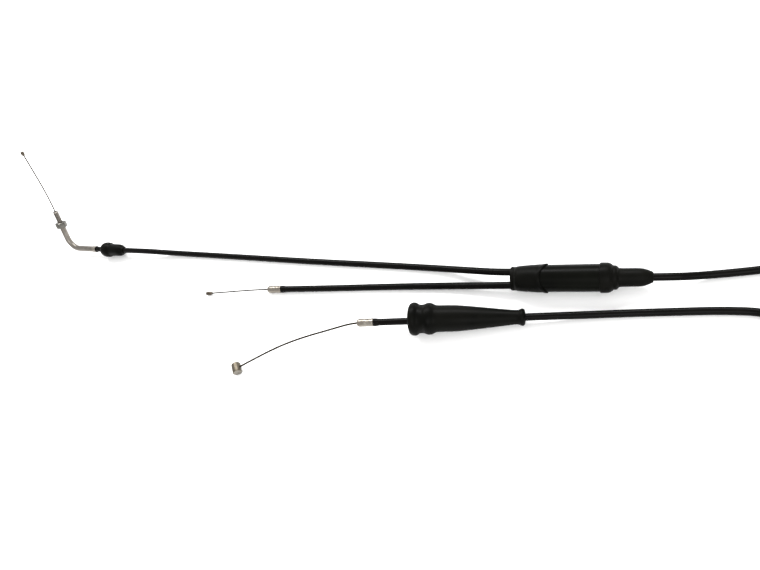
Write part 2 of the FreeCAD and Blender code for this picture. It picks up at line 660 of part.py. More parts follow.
def carb_lock_nut():
    body = doc.addObject("PartDesign::Body", "carb_lock_nut")
    sketch = new_sketch(body, "lock_nut_outline", "YZ_Plane")
    corner = S.nut_flats / math.sqrt(3)
    points = []
    for k in range(6):
        angle = math.radians(60 * k)
        points.append((corner * math.cos(angle), corner * math.sin(angle)))
    for k in range(6):
        a, b = points[k], points[(k + 1) % 6]
        start = Vector(a[0].value, a[1].value, 0)
        sketch.addGeometry(Part.LineSegment(start, Vector(b[0].value, b[1].value, 0)))
    for k in range(6):
        sketch.addConstraint(Sketcher.Constraint("Coincident", k, 2, (k + 1) % 6, 1))
    for k, (x, y) in enumerate(points):
        pin_vertex(sketch, k, x, y)
    circle = Part.Circle(Vector(), Vector(0, 0, 1), S.thread_d.value / 2 + S.nut_gap.value)
    sketch.addGeometry(circle)
    sketch.addConstraint(Sketcher.Constraint("Coincident", 6, 3, -1, 1))
    index = sketch.addConstraint(Sketcher.Constraint("Radius", 6, circle.Radius))
    sketch.setExpression("Constraints[%d]" % index, (S.thread_d / 2 + S.nut_gap).text)
    pad = body.newObject("PartDesign::Pad", "lock_nut_pad")
    pad.Profile = sketch
    pad.setExpression("Length", S.nut_thick.text)
    body.Tip = pad
    start = S.elbow_rise + S.nut_seat
    along = Placement(Vector(start.value, 0, 0), Rotation())
    finish(body, "carb_lock_nut", rise_place.multiply(along))


def carb_dust_cap():
    sheath, crimp = S.sheath_d / 2, S.sheath_d / 2 + S.elbow_wall + S.crimp_wall
    bore, back = sheath + S.lip_gap, sheath + S.cap_back_wall
    mouth = crimp + S.cap_mouth_gap
    waist, head = mouth + S.cap_wall, mouth + S.cap_head_wall
    end = S.cap_long
    front = -(S.elbow_leg + S.crimp_long / 2 + S.cap_to_crimp)
    place = leg_place.multiply(Placement(Vector(front.value - end.value, 0, 0), Rotation()))
    finish(turned_body("carb_dust_cap", [
        (0, bore), (0, back), (S.cap_taper, waist), (S.cap_waist, waist),
        (S.cap_waist + S.cap_slope_long, head - S.cap_slope_drop),
        (S.cap_waist + S.cap_round_long, head), (end - S.cap_round_long, head),
        (end - S.cap_nose_long, head - S.cap_nose_drop), (end, head - S.cap_face_drop), (end, mouth),
        (end - S.cap_mouth_deep, mouth), (end - S.cap_mouth_deep, bore),
    ]), "carb_dust_cap", place)


# ---------------------------------------------------------------------------
# Put-away coil: two turns side by side on the floor, and part of a third on top of them
# ---------------------------------------------------------------------------


def main_sheath_coil():
    half = S.sheath_d / 2
    inner, step, outer = S.coil_inner - half, S.coil_middle + half, S.coil_outer + half
    coil = turned_body("main_sheath_coil", [
        (0, inner), (0, outer), (S.sheath_d, outer), (S.sheath_d * 2, step), (S.sheath_d * 2, inner),
    ])
    centre = Vector(COIL_CENTRE[0], COIL_CENTRE[1], -S.floor_drop.value)
    finish(coil, "main_sheath_coil", Placement(centre, Rotation(Vector(0, 1, 0), -90)))


# ---------------------------------------------------------------------------
# The whole cable
# ---------------------------------------------------------------------------


def build():
    splitter_body()
    splitter_branch_plug()
    splitter_main_plug()
    main_sheath_ferrule()
    splitter_branch_cover()
    splitter_main_cover()
    splitter_slider()
    slider_nipples_and_wires()

    sheath = S.sheath_d.value
    tube("carb_branch_sheath", CARB_SHEATH_ROUTE, sheath)
    tube("pump_branch_sheath", PUMP_SHEATH_ROUTE, sheath)
    tube("main_sheath_run_out", MAIN_RUN_OUT_ROUTE, sheath)
    tube("main_sheath_run_back", MAIN_RUN_BACK_ROUTE, sheath)
    main_sheath_coil()

    grip_end()
    grip_boot()
    grip_nipple()
    tube("grip_inner_wire", GRIP_WIRE_ROUTE, S.wire_d.value)

    ferrule("pump_ferrule", branch_wire_hole, pump_place)
    tube("pump_inner_wire", PUMP_WIRE_ROUTE, S.branch_wire_d.value)
    last, end = Vector(*PUMP_WIRE_ROUTE[-2]), Vector(*PUMP_WIRE_ROUTE[-1])
    end_nipple("pump_nipple", S.pump_nipple_long, end, end - last)

    carb_elbow()
    carb_threaded_end()
    carb_lock_nut()
    carb_dust_cap()
    tube("carb_inner_wire", CARB_WIRE_ROUTE, S.branch_wire_d.value)
    last, end = Vector(*CARB_WIRE_ROUTE[-2]), Vector(*CARB_WIRE_ROUTE[-1])
    end_nipple("carb_nipple", S.carb_nipple_long, end, end - last)


build()
doc.recompute()

for obj in doc.Objects:
    if "Invalid" in obj.State or "Error" in obj.State:
        raise RuntimeError("%s failed: %s" % (obj.Label, obj.State))
for obj in subparts:
    if obj.Shape.isNull() or not obj.Shape.isValid():
        raise RuntimeError("%s has no valid shape" % obj.Label)
for obj in subparts:
    obj.Shape.exportStep("parts/%s.step" % obj.Label)
print("%d sub-parts written" % len(subparts))
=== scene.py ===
import bpy
import math
from mathutils import Matrix, Vector


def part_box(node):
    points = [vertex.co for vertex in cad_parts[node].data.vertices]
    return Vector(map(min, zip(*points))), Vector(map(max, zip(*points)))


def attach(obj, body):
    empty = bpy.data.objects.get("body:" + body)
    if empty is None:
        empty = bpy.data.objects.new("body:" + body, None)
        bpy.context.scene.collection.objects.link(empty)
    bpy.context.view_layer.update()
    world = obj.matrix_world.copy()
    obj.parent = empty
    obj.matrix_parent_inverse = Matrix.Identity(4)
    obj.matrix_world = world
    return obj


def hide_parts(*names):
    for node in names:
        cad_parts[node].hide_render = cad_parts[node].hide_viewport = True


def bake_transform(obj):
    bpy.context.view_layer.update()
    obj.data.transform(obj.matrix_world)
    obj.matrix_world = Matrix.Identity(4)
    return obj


# A one-into-two throttle cable: grip end and main cable, splitter, and two branches, one to the
# carburettor and one to the oil pump.  Everything is in metres, in the CAD model's own frame.

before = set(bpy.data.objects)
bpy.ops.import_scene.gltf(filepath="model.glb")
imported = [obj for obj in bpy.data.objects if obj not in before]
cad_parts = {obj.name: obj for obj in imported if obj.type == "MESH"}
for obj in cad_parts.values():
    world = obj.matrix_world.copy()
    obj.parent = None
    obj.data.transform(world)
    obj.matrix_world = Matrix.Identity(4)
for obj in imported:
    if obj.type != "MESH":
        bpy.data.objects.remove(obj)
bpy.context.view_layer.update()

MM = 0.001
FLOOR = -0.00985
SHEATH_R = 0.0025
WIRE_R = 0.0006
MAIN_WIRE_R = 0.00075
CASING = "casing"
# The branch cover is made of this many columns, which its lip is shaped by.
LIP_SEGMENTS = 64


# ---------------------------------------------------------------------------
# Places and routes, as the CAD model has them
# ---------------------------------------------------------------------------

GRIP_COLLAR = Vector((-0.0307, -0.0268, -0.0040))
GRIP_DIRECTION = Vector((-0.9963, -0.0761, 0.0389)).normalized()
BOOT_DIRECTION = Vector((-0.9934, -0.0787, 0.0835)).normalized()
PUMP_FERRULE = Vector((-0.2247, -0.00325, -0.00685))
PUMP_DIRECTION = Vector((-0.9998, -0.0150, 0.0)).normalized()
ELBOW_CORNER = Vector((-0.4817, 0.0429, -0.00265))
ELBOW_HEADING = math.radians(175.86)
ELBOW_ELEVATION = math.radians(61.0)
# From the grip collar to the back of its ferrule, and a ferrule's length.
GRIP_FERRULE_BACK = 0.1039
# In mm: the elbow's straight leg, the dust cap's back along it, and the thread up the rise.
ELBOW_LEG = 33.4
CAP_BACK = 73.0
THREAD_START, THREAD_END = 22.8, 39.8

CARB_SHEATH_ROUTE = [
    (-0.0315, 0.00381, 0.0022), (-0.0465, 0.00381, 0.0022), (-0.0660, 0.0083, -0.0026),
    (-0.0980, 0.0141, -0.00735), (-0.1500, 0.0184, -0.00735), (-0.2000, 0.0223, -0.00735),
    (-0.2620, 0.0278, -0.00735), (-0.3150, 0.0325, -0.00735), (-0.3500, 0.0349, -0.0064),
    (-0.3760, 0.03525, -0.00265), (-0.39193, 0.0364, -0.00265), (-0.45028, 0.04063, -0.00265),
]
PUMP_SHEATH_ROUTE = [
    (-0.0315, -0.00381, -0.0022), (-0.0460, -0.00381, -0.0022), (-0.0620, -0.0024, -0.0049),
    (-0.0900, -0.0009, -0.00735), (-0.1320, -0.0014, -0.00735), (-0.1800, -0.0024, -0.00735),
    (-0.2110, -0.00305, -0.00685), (-0.23369, -0.00339, -0.00685),
]
MAIN_RUN_OUT_ROUTE = [
    (0.0280, 0.0, 0.0), (0.0560, 0.0, 0.0), (0.0710, 0.0034, -0.0049), (0.0900, 0.0067, -0.00735),
    (0.1120, 0.0094, -0.00735),
]
MAIN_RUN_BACK_ROUTE = [
    (0.1220, -0.0280, -0.0046), (0.1060, -0.0196, -0.00735),
    (0.0840, -0.0189, -0.00735), (0.0600, -0.01995, -0.00735), (0.0380, -0.02105, -0.00735),
    (0.0100, -0.0234, -0.0061), (-0.0120, -0.02537, -0.00473), (-0.02203, -0.02614, -0.00434),
    (-0.1432, -0.03539, 0.00039),
]
GRIP_WIRE_ROUTE = [
    (-0.1432, -0.03539, 0.00039), (-0.1500, -0.03591, 0.00066), (-0.1680, -0.0406, -0.0015),
    (-0.1890, -0.0461, -0.0035), (-0.2070, -0.0528, -0.0048), (-0.2240, -0.0617, -0.0058),
    (-0.2415, -0.0726, -0.0063),
]
PUMP_WIRE_ROUTE = [
    (-0.23371, -0.00339, -0.00685), (-0.2445, -0.00355, -0.00685), (-0.2620, -0.0044, -0.00715),
    (-0.2780, -0.0052, -0.0078), (-0.2923, -0.00605, -0.00805),
]
CARB_WIRE_ROUTE = [
    (-0.48052, 0.05924, 0.02691), (-0.47993, 0.06738, 0.04163), (-0.4798, 0.0742, 0.0554),
    (-0.4801, 0.0807, 0.0694), (-0.4805, 0.0872, 0.0835),
]
COIL_CENTRE = Vector((0.1520, -0.0140, 0.0))
SPLITTER_ROLL = math.radians(30.0)


def coil_route():
    """The put-away turns: two side by side on the floor, then part of a third on top of them."""
    turn, per_turn = 360.0, 16
    start_angle, end_angle = 105.0, -120.0
    on_floor = 2 * turn
    climb, level, spread = 100.0, 80.0, 145.0
    outer, inner, pitch, low = 0.0328, 0.0228, 0.0050, -0.00735
    sweep = start_angle - end_angle + on_floor
    count = round(sweep / turn * per_turn)
    points = []
    for k in range(count + 1):
        done = sweep * k / count
        if done < on_floor:
            radius, height = outer - pitch * done / turn, low
        else:
            climbed = min((done - on_floor) / climb, 1.0)
            outwards = max((done - on_floor - level) / spread, 0.0)
            radius, height = inner + pitch * outwards, low + pitch * climbed
        angle = math.radians(start_angle - done)
        side = Vector((math.cos(angle), math.sin(angle), 0)) * radius
        points.append(tuple(COIL_CENTRE + side + Vector((0, 0, height))))
    return points


def place_along(point, direction):
    """The matrix that puts a piece's own X axis along the direction, from the point."""
    turn = Vector((1, 0, 0)).rotation_difference(Vector(direction).normalized())
    return Matrix.Translation(Vector(point)) @ turn.to_matrix().to_4x4()


leg_way = Vector((math.cos(ELBOW_HEADING), math.sin(ELBOW_HEADING), 0))
side_way = Vector((math.sin(ELBOW_HEADING), -math.cos(ELBOW_HEADING), 0))
rise_way = side_way * math.cos(ELBOW_ELEVATION) + Vector((0, 0, math.sin(ELBOW_ELEVATION)))
leg_place = place_along(ELBOW_CORNER, leg_way)
rise_place = place_along(ELBOW_CORNER, rise_way)


# ---------------------------------------------------------------------------
# Camera, light and floor
# ---------------------------------------------------------------------------


def make_camera():
    data = bpy.data.cameras.new("camera")
    data.sensor_width = 36.0
    data.lens = 29.37
    data.clip_start = 0.01
    camera = bpy.data.objects.new("camera", data)
    right = Vector((0.91363, 0.19917, -0.35442))
    up = Vector((0.00712, 0.86380, 0.50378))
    back = Vector((0.40649, -0.46279, 0.78778))
    matrix = Matrix((right, up, back)).transposed().to_4x4()
    matrix.translation = Vector((0.04874, -0.21354, 0.35650))
    camera.matrix_world = matrix
    bpy.context.scene.collection.objects.link(camera)
    bpy.context.scene.camera = camera


def area_light(name, place, target, size, power):
    data = bpy.data.lights.new(name, "AREA")
    data.shape = "RECTANGLE"
    data.size, data.size_y = size
    data.energy = power
    light = bpy.data.objects.new(name, data)
    light.location = place
    aim = Vector(target) - Vector(place)
    light.rotation_euler = aim.to_track_quat("-Z", "Y").to_euler()
    bpy.context.scene.collection.objects.link(light)


def make_studio():
    scene = bpy.context.scene
    scene.view_settings.view_transform = "Standard"
    world = bpy.data.worlds.new("studio")
    scene.world = world
    world.use_nodes = True
    backdrop = world.node_tree.nodes["Background"]
    backdrop.inputs["Color"].default_value = (1.0, 1.0, 1.0, 1)
    backdrop.inputs["Strength"].default_value = 1.1
    area_light("key", (-0.35, 0.75, 1.0), (-0.15, 0.0, 0.0), (1.5, 0.22), 26.0)
    area_light("fill", (0.4, -0.9, 0.8), (-0.1, 0.0, 0.0), (1.0, 0.8), 10.0)

    bpy.ops.object.select_all(action="DESELECT")
    bpy.ops.mesh.primitive_plane_add(size=6.0, location=(-0.15, 0, FLOOR))
    floor = bpy.context.object
    floor.name = "floor"
    material = bpy.data.materials.new("pale_floor")
    material.use_nodes = True
    shader = material.node_tree.nodes["Principled BSDF"]
    shader.inputs["Base Color"].default_value = (0.95, 0.95, 0.945, 1)
    shader.inputs["Roughness"].default_value = 0.8
    floor.data.materials.append(material)


# ---------------------------------------------------------------------------
# Materials
# ---------------------------------------------------------------------------


class Finish:
    """A node material on Object coordinates, built up from a few named patterns."""

    def __init__(self, name, metallic=0.0):
        self.material = bpy.data.materials.new(name)
        self.material.use_nodes = True
        self.tree = self.material.node_tree
        self.shader = self.tree.nodes["Principled BSDF"]
        self.shader.inputs["Metallic"].default_value = metallic
        self.place = self.node("ShaderNodeTexCoord").outputs["Object"]

    def node(self, kind, **values):
        node = self.tree.nodes.new(kind)
        for key, value in values.items():
            setattr(node, key, value)
        return node

    def join(self, output, socket):
        self.tree.links.new(output, socket)

    def noise(self, scale, detail=4.0, roughness=0.55, stretch=(1, 1, 1), distortion=0.0):
        mapping = self.node("ShaderNodeMapping")
        mapping.inputs["Scale"].default_value = stretch
        self.join(self.place, mapping.inputs["Vector"])
        noise = self.node("ShaderNodeTexNoise")
        noise.inputs["Scale"].default_value = scale
        noise.inputs["Detail"].default_value = detail
        noise.inputs["Roughness"].default_value = roughness
        noise.inputs["Distortion"].default_value = distortion
        self.join(mapping.outputs["Vector"], noise.inputs["Vector"])
        return noise.outputs["Fac"]

    def ramp(self, factor, stops):
        ramp = self.node("ShaderNodeValToRGB")
        elements = ramp.color_ramp.elements
        while len(elements) < len(stops):
            elements.new(0.5)
        for element, (position, colour) in zip(elements, stops):
            element.position = position
            element.color = (*colour, 1)
        self.join(factor, ramp.inputs["Fac"])
        return ramp.outputs["Color"]

    def span(self, factor, low, high, start=0.3, end=0.7):
        spread = self.node("ShaderNodeMapRange")
        spread.inputs["From Min"].default_value = start
        spread.inputs["From Max"].default_value = end
        spread.inputs["To Min"].default_value = low
        spread.inputs["To Max"].default_value = high
        self.join(factor, spread.inputs["Value"])
        return spread.outputs["Result"]

    def mix(self, factor, first, second):
        mix = self.node("ShaderNodeMix", data_type="RGBA")
        self.join(factor, mix.inputs["Factor"])
        self.join(first, mix.inputs["A"])
        self.join(second, mix.inputs["B"])
        return mix.outputs["Result"]

    def colour(self, output):
        self.join(output, self.shader.inputs["Base Color"])

    def rough(self, output):
        self.join(output, self.shader.inputs["Roughness"])

    def bump(self, height, depth, strength=1.0, under=None):
        bump = self.node("ShaderNodeBump")
        bump.inputs["Distance"].default_value = depth
        bump.inputs["Strength"].default_value = strength
        self.join(height, bump.inputs["Height"])
        if under is not None:
            self.join(under, bump.inputs["Normal"])
        self.join(bump.outputs["Normal"], self.shader.inputs["Normal"])
        return bump.outputs["Normal"]


def black_sheath():
    """Extruded black PVC: fairly glossy, with long draw lines and a little dust."""
    finish = Finish("black_sheath")
    lines = finish.noise(900, 2, 0.5, (0.06, 1, 1))
    patches = finish.noise(60, 3)
    dust = finish.noise(1500, 2, 0.7)
    base = finish.ramp(patches, [(0.3, (0.0010, 0.0009, 0.0008)), (0.7, (0.0024, 0.0020, 0.0016))])
    specks = finish.ramp(dust, [(0.0, (0.0030, 0.0027, 0.0023)), (1.0, (0.0120, 0.0105, 0.0085))])
    finish.colour(finish.mix(finish.span(dust, 0.0, 0.6, 0.66, 0.8), base, specks))
    finish.rough(finish.span(patches, 0.20, 0.32))
    finish.bump(lines, 0.00006, 0.5)
    finish.shader.inputs["Specular IOR Level"].default_value = 0.05
    return finish.material


def black_rubber():
    """Moulded rubber: dull, a fine grain, greyer where it was handled."""
    finish = Finish("black_rubber")
    grain = finish.noise(2600, 3, 0.6)
    patches = finish.noise(75, 4)
    bloom = finish.noise(28, 2)
    dark = finish.ramp(patches, [(0.3, (0.0010, 0.0011, 0.0008)), (0.75, (0.0026, 0.0026, 0.0019))])
    grey = finish.ramp(grain, [(0.2, (0.0022, 0.0021, 0.0017)), (0.8, (0.0070, 0.0064, 0.0050))])
    finish.colour(finish.mix(finish.span(bloom, 0.0, 0.45, 0.42, 0.72), dark, grey))
    finish.rough(finish.span(patches, 0.34, 0.50))
    soft = finish.bump(finish.noise(420, 2), 0.00008, 0.35)
    finish.bump(grain, 0.00004, 0.5, soft)
    finish.shader.inputs["Specular IOR Level"].default_value = 0.035
    return finish.material


def black_plastic():
    """Turned and moulded black plastic: a satin sheen with faint rings around the axis."""
    finish = Finish("black_plastic")
    rings = finish.noise(2200, 2, 0.5, (1, 0.05, 0.05))
    patches = finish.noise(50, 3)
    finish.colour(finish.ramp(patches, [(0.3, (0.0010, 0.0011, 0.0007)),
                                        (0.7, (0.0024, 0.0026, 0.0017))]))
    finish.rough(finish.span(patches, 0.28, 0.40))
    finish.bump(rings, 0.00003, 0.45)
    finish.shader.inputs["Specular IOR Level"].default_value = 0.035
    return finish.material


def plated_steel(name, light, dark, shine):
    """Plated steel: smudged, slightly stained, with a fine lumpy skin."""
    finish = Finish(name, 1.0)
    smudges = finish.noise(240, 4, 0.6)
    stains = finish.noise(90, 3, 0.5, (1, 1, 1), 0.6)
    skin = finish.noise(1900, 3, 0.55)
    clean = finish.ramp(smudges, [(0.25, tuple(0.8 * c for c in light)), (0.75, light)])
    between = tuple(0.5 * (a + b) for a, b in zip(light, dark))
    stained = finish.ramp(skin, [(0.2, dark), (0.8, between)])
    finish.colour(finish.mix(finish.span(stains, 0.0, 0.8, 0.48, 0.72), clean, stained))
    finish.rough(finish.span(smudges, shine, shine + 0.16))
    finish.bump(skin, 0.00003, 0.5)
    return finish.material


# ---------------------------------------------------------------------------
# Modelling helpers
# ---------------------------------------------------------------------------


def deselect():
    bpy.ops.object.select_all(action="DESELECT")


def edit(piece):
    """Opens a piece in edit mode, with nothing else selected and nothing in it selected."""
    deselect()
    piece.select_set(True)
    bpy.context.view_layer.objects.active = piece
    bpy.ops.object.mode_set(mode="EDIT")
    bpy.ops.mesh.select_all(action="DESELECT")


def done():
    bpy.ops.object.mode_set(mode="OBJECT")


def select_vertices(piece, wanted):
    """Selects, in edit mode, the vertices whose place answers to the test."""
    bpy.ops.mesh.select_all(action="DESELECT")
    done()
    for vertex in piece.data.vertices:
        vertex.select = wanted(vertex.co)
    bpy.ops.object.mode_set(mode="EDIT")
    bpy.ops.mesh.select_mode(type="VERT")


def turned(name, outline, segments=48, hollow=True):
    """A ring extruded from station to station along X. The outline is (x, radius) in mm."""
    x, radius = outline[0]
    deselect()
    bpy.ops.mesh.primitive_circle_add(
        vertices=segments, radius=radius * MM, location=(x * MM, 0, 0),
        rotation=(0, math.pi / 2, 0))
    piece = bpy.context.object
    piece.name = name
    bpy.ops.object.transform_apply(location=True, rotation=True, scale=True)
    edit(piece)
    bpy.ops.mesh.select_all(action="SELECT")
    for next_x, next_radius in outline[1:]:
        step = {"value": ((next_x - x) * MM, 0, 0)}
        bpy.ops.mesh.extrude_region_move(TRANSFORM_OT_translate=step)
        grown = next_radius / radius
        bpy.ops.transform.resize(value=(1, grown, grown), center_override=(next_x * MM, 0, 0))
        x, radius = next_x, next_radius
    bpy.ops.mesh.select_all(action="DESELECT")
    bpy.ops.mesh.select_non_manifold()
    if hollow:
        bpy.ops.mesh.bridge_edge_loops()
    else:
        bpy.ops.mesh.edge_face_add()
    bpy.ops.mesh.select_all(action="SELECT")
    bpy.ops.mesh.normals_make_consistent(inside=False)
    done()
    return piece


def apply(piece, kind, **values):
    """Adds one modifier and applies it."""
    modifier = piece.modifiers.new(kind.lower(), kind)
    for key, value in values.items():
        setattr(modifier, key, value)
    deselect()
    piece.select_set(True)
    bpy.context.view_layer.objects.active = piece
    bpy.ops.object.modifier_apply(modifier=modifier.name)


def round_edges(piece, width, segments=3, angle=28):
    apply(piece, "BEVEL", width=width * MM, segments=segments, limit_method="ANGLE",
          angle_limit=math.radians(angle))


def smooth(piece):
    apply(piece, "SUBSURF", levels=1, render_levels=1)


def settle(piece, place, body, material, slot, *nodes, shade=35):
    """Puts a finished piece in its place, on its body, in its material."""
    piece.matrix_world = place
    deselect()
    piece.select_set(True)
    bpy.context.view_layer.objects.active = piece
    bpy.ops.object.transform_apply(location=True, rotation=True, scale=True)
    bpy.ops.object.shade_smooth_by_angle(angle=math.radians(shade))
    piece.data.materials.clear()
    piece.data.materials.append(material)
    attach(piece, body)
    if nodes:
        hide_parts(*nodes)
    return piece


# ---------------------------------------------------------------------------
# Cords
# ---------------------------------------------------------------------------


def spline_curve(name, points):
    data = bpy.data.curves.new(name, "CURVE")
    data.dimensions = "3D"
    data.resolution_u = 16
    spline = data.splines.new("NURBS")
    spline.points.add(len(points) - 1)
    for point, place in zip(spline.points, points):
        point.co = (*place, 1)
    spline.order_u = 3
    spline.use_endpoint_u = True
    curve = bpy.data.objects.new(name, data)
    bpy.context.scene.collection.objects.link(curve)
    return curve


def route_points(name, points):
    """The points along the spline that a route gives."""
    guide = spline_curve(name + "_guide", points)
    guide.data.resolution_u = 24
    bpy.context.view_layer.update()
    mesh = bpy.data.meshes.new_from_object(guide)
    line = [vertex.co.copy() for vertex in mesh.vertices]
    bpy.data.objects.remove(guide)
    bpy.data.meshes.remove(mesh)
    return line


def line_length(line):
    return sum((b - a).length for a, b in zip(line, line[1:]))


def sheath(name, points, material, *nodes):
    """One run of the outer sheath, as a round curve along its route."""
    length = line_length(route_points(name, points))
    curve = spline_curve(name, points)
    curve.data.bevel_depth = SHEATH_R
    curve.data.bevel_resolution = 8
    curve.data.use_fill_caps = True
    curve.data.materials.append(material)
    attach(curve, CASING)
    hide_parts(*nodes)
    return curve, length


def stranded_wire(name, points, radius, material, lay=0.011, strands=7):
    """A twisted wire as one mesh: a lobed section that turns as it follows the route."""
    line = route_points(name, points)
    around = strands * 6
    lobe = 0.16
    vertices, faces = [], []
    walked = 0.0
    side = Vector((0, 0, 1))
    for k, point in enumerate(line):
        ahead = line[min(k + 1, len(line) - 1)] - line[max(k - 1, 0)]
        ahead.normalize()
        side = (side - ahead * side.dot(ahead)).normalized()
        other = ahead.cross(side)
        if k:
            walked += (point - line[k - 1]).length
        twist = 2 * math.pi * walked / lay
        for j in range(around):
            angle = 2 * math.pi * j / around
            reach = radius * (1 - lobe + lobe * abs(math.cos(strands * angle / 2)))
            turn = angle + twist
            vertices.append(point + (side * math.cos(turn) + other * math.sin(turn)) * reach)
    for k in range(len(line) - 1):
        for j in range(around):
            a, b = k * around + j, k * around + (j + 1) % around
            faces.append((a, b, b + around, a + around))
    faces.append(tuple(reversed(range(around))))
    faces.append(tuple(range(len(vertices) - around, len(vertices))))
    mesh = bpy.data.meshes.new(name)
    mesh.from_pydata([tuple(v) for v in vertices], [], faces)
    mesh.update()
    wire = bpy.data.objects.new(name, mesh)
    bpy.context.scene.collection.objects.link(wire)
    edit(wire)
    bpy.ops.mesh.select_all(action="SELECT")
    bpy.ops.mesh.normals_make_consistent(inside=False)
    bpy.ops.mesh.faces_shade_smooth()
    done()
    wire.data.materials.append(material)
    return wire, line


def bare_wire(name, route, radius, material, node):
    """A bare end of inner wire along its route, put in place of its CAD node."""
    wire, line = stranded_wire(name, route, radius, material)
    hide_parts(node)
    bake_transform(wire)


def inside_wire(name, node, radius, material, from_right):
    """A wire between a fixed plug and the slider, inside the splitter."""
    low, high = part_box(node)
    middle = (low + high) / 2
    fixed, moving = (high.x, low.x) if from_right else (low.x, high.x)
    points = [(fixed + (moving - fixed) * k / 4, middle.y, middle.z) for k in range(5)]
    wire, line = stranded_wire(name, points, radius, material)
    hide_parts(node)
    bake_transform(wire)


# ---------------------------------------------------------------------------
# Splitter
# ---------------------------------------------------------------------------


def splitter_branch_cover(material):
    """Rubber cover over the two branches: oval collar, widening skirt, and a lip with two ears."""
    left, step, lip = -39.9, -21.0, -15.6
    flange = left + 3.9
    outline = [
        (left + 0.4, 1.0), (left + 0.12, 6.9), (left, 7.45), (left + 0.3, 7.9), (left + 0.9, 8.05),
        (left + 2.2, 8.05), (left + 2.9, 7.88), (left + 3.6, 8.02), (left + 4.6, 8.36),
        (left + 8.0, 8.72), (lip - 8.0, 9.22), (lip - 2.5, 9.50), (lip - 2.2, 9.72),
        (lip - 1.4, 9.80),
        (lip - 0.3, 9.80), (lip, 9.6), (lip, 9.25), (lip - 0.15, 9.02), (lip - 0.4, 9.0),
        (step + 0.05, 9.0), (step, 7.6), (flange + 0.1, 7.6), (flange, 5.0), (left + 1.4, 1.0),
    ]
    cover = turned("branch_cover", outline, LIP_SEGMENTS)
    edit(cover)
    # The collar is wide across the two branches and low the other way.
    bands = [(left - 1.0, left + 2.6, 0.69), (left + 2.6, left + 3.3, 0.80),
             (left + 3.3, left + 4.2, 0.94)]
    for start, end, height in bands:
        select_vertices(cover, lambda co: start * MM < co.x <= end * MM)
        bpy.ops.transform.resize(value=(1, 1, height), center_override=(0, 0, 0))
    done()
    set_back_lip(cover, lip - 2.6, 4.4)
    smooth(cover)
    place = Matrix.Rotation(SPLITTER_ROLL, 4, "X")
    return settle(cover, place, CASING, material, "black_rubber", "splitter_branch_cover")


def set_back_lip(cover, start, depth):
    """Sets the lip back column by column, so that an ear is left at each side."""
    edit(cover)
    for k in range(LIP_SEGMENTS // 4 + 1):
        share = math.cos(2 * math.pi * k / LIP_SEGMENTS)
        select_vertices(cover, lambda co: co.x > start * MM
                        and abs(abs(co.y) / co.yz.length - share) < 0.002)
        bpy.ops.transform.translate(value=(-depth * MM * (1 - share**2.4), 0, 0))
    done()


def splitter_main_cover(material):
    """Rubber cover over the main cable's end: lip, shoulder, ring, sleeve and a bullet tip."""
    left, flange, neck, right = 16.5, 24.5, 37.5, 47.6
    outline = [
        (left + 0.05, 7.8), (left, 9.1), (left + 0.12, 9.60), (left + 0.55, 9.78),
        (left + 3.0, 9.78),
        (left + 4.8, 9.68), (left + 5.8, 9.42), (left + 6.6, 9.00), (left + 7.2, 8.52),
        (left + 7.65, 8.08), (left + 7.95, 7.82), (left + 8.25, 7.74), (left + 8.6, 7.82),
        (left + 9.3, 7.78), (left + 10.0, 7.52), (left + 10.5, 7.05),
        (left + 10.95, 6.45), (left + 11.3, 6.06), (left + 12.2, 5.92), (neck - 1.5, 5.88),
        (right - 7.3, 5.80), (right - 5.4, 5.48), (right - 4.2, 5.08), (right - 3.8, 4.88),
        (right - 3.4, 4.84), (right - 2.6, 4.44), (right - 2.3, 4.22), (right - 1.9, 4.16),
        (right - 1.0, 3.72), (right - 0.25, 3.3), (right, 2.95), (right - 0.35, 2.62),
        (right - 5.0, 2.56), (neck + 0.1, 2.56), (neck + 0.05, 4.1), (flange + 0.1, 4.1),
        (flange + 0.05, 6.85), (flange - 2.5, 6.88), (flange - 2.6, 7.54), (left + 0.6, 7.56),
    ]
    cover = turned("main_cover", outline, 64)
    smooth(cover)
    return settle(cover, Matrix.Identity(4), CASING, material, "black_rubber",
                  "splitter_main_cover")


# ---------------------------------------------------------------------------
# Grip end
# ---------------------------------------------------------------------------


def grip_boot(material):
    """Long rubber boot: collar, slender neck, long cone, and two rings at the mouth."""
    outline = [
        (-1.9, 2.75), (-1.9, 4.3), (-1.7, 4.78), (-1.2, 5.35), (-0.6, 5.66), (0.3, 5.70),
        (1.0, 5.48),
        (1.7, 4.98), (2.6, 4.70), (5.0, 4.82), (12.0, 5.58), (22.0, 6.72), (32.0, 7.82),
        (40.0, 8.66), (44.0, 8.92), (50.0, 9.02), (56.2, 9.08), (57.2, 9.28), (58.6, 10.00),
        (60.0, 10.72), (61.4, 10.92), (62.8, 10.86), (64.0, 10.42), (65.0, 9.95), (66.0, 9.76),
        (68.0, 9.76), (68.9, 9.95), (69.8, 10.75), (70.7, 11.30), (71.8, 11.50), (73.0, 11.42),
        (74.0, 11.05), (74.7, 10.40), (75.0, 9.70), (75.0, 9.00), (74.8, 8.45), (74.0, 8.22),
        (72.0, 8.20), (60.0, 8.05), (45.0, 7.90), (30.0, 6.1), (18.0, 4.4), (14.0, 3.6),
        (12.0, 3.0),
        (11.0, 2.75), (4.0, 2.75),
    ]
    boot = turned("boot", outline, 64)
    smooth(boot)
    place = place_along(GRIP_COLLAR, BOOT_DIRECTION)
    return settle(boot, place, "boot", material, "black_rubber", "grip_boot")


